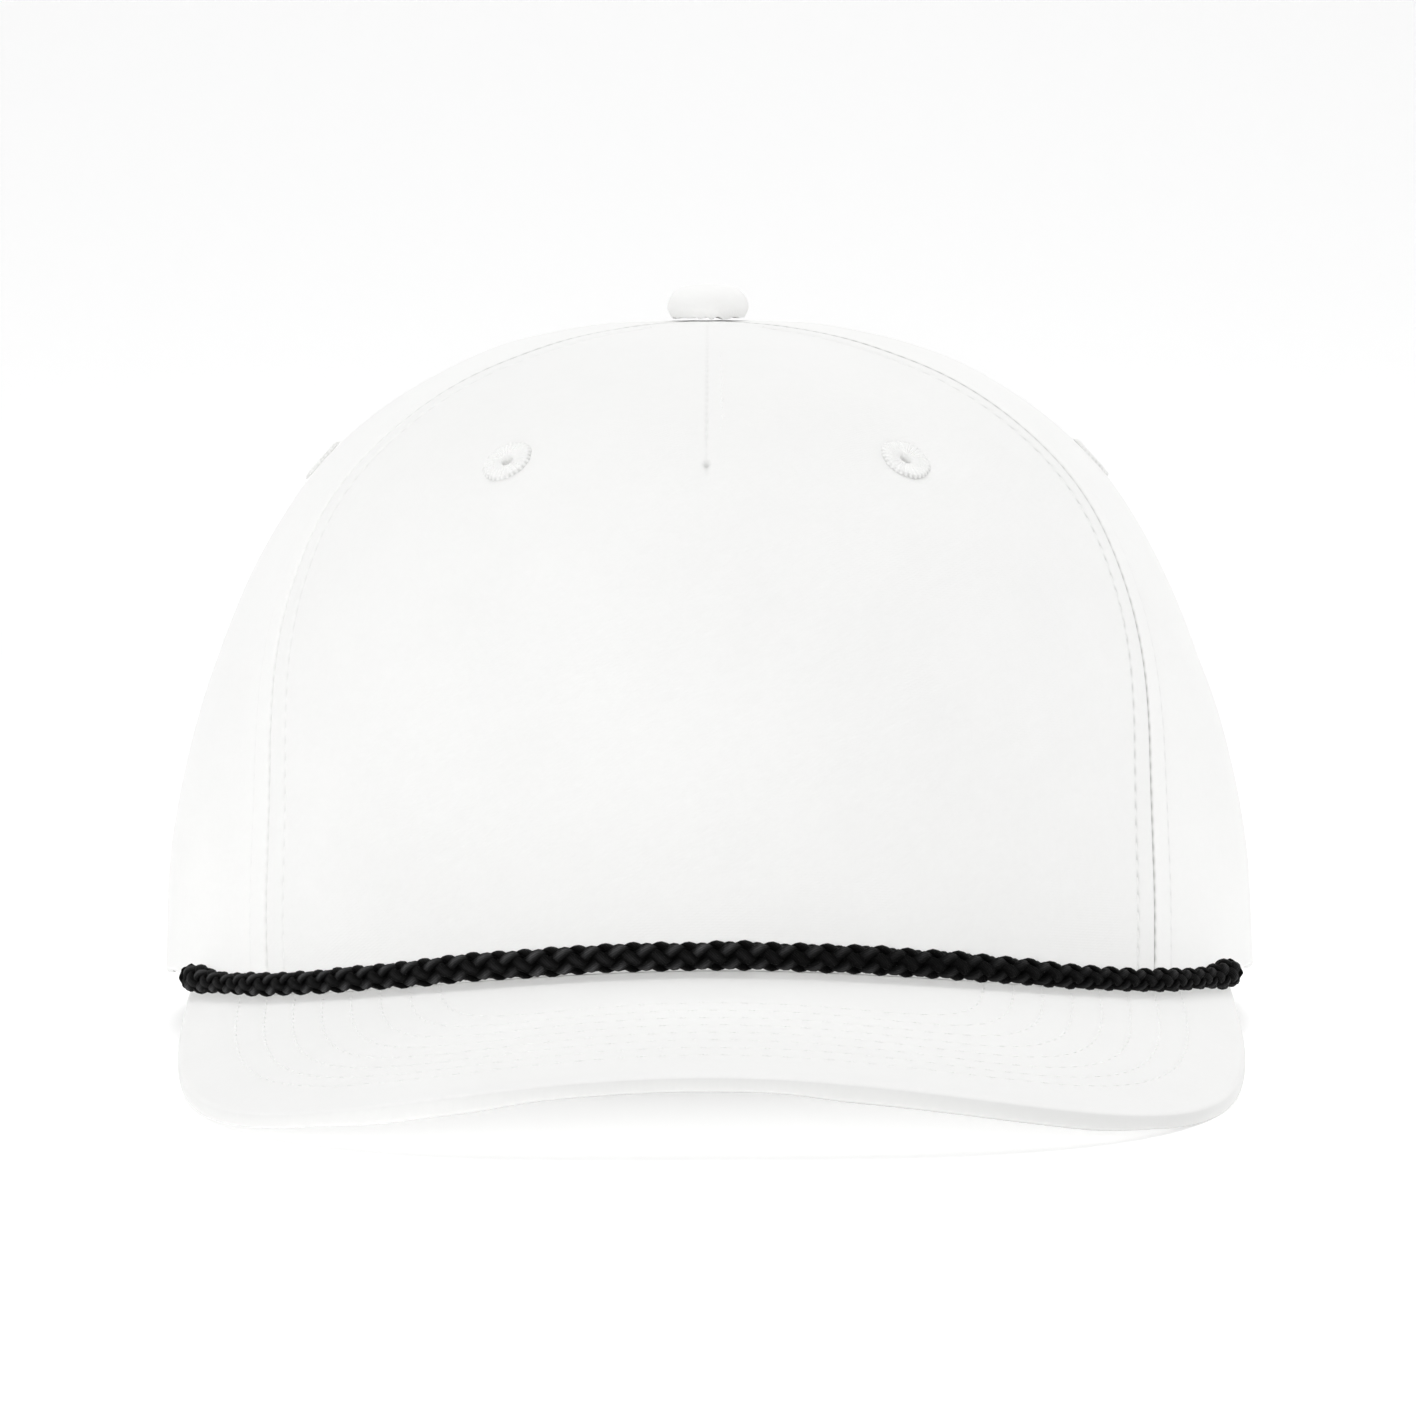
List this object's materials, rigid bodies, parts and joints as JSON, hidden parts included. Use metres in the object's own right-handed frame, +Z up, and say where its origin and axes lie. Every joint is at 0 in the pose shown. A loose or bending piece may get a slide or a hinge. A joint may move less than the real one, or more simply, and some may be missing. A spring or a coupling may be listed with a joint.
{
  "type": "five-panel cap",
  "caption": "Rope cap with a stiff front panel with a short dart, side and back panels, a bent stitched brim, a braided rope at the brim seam, embroidered eyelets and an open back with a strap.",
  "frame": {"origin": "on the table under the middle of the cap's bounding box", "axes": "-Y from the crown towards the brim, +Z up, +X towards the wearer's left"},
  "size_m": [0.178, 0.2672, 0.1191],
  "materials": {
    "cloth": "white brushed cotton twill",
    "rope": "black braided polyester cord",
    "thread": "white embroidery thread",
    "band": "white cotton sweatband",
    "strap": "white moulded plastic"
  },
  "bodies": {
    "root": {"front_panel": "cloth", "side_panel_left": "cloth", "side_panel_right": "cloth", "back_panel_left": "cloth", "back_panel_right": "cloth", "brim": "cloth", "rope": "rope", "button": "cloth", "eyelet_front_left": "thread", "eyelet_front_right": "thread", "eyelet_side_left": "thread", "eyelet_side_right": "thread", "eyelet_back_left": "thread", "eyelet_back_right": "thread", "sweatband": "band", "back_strap": "strap"}
  },
  "joints": []
}
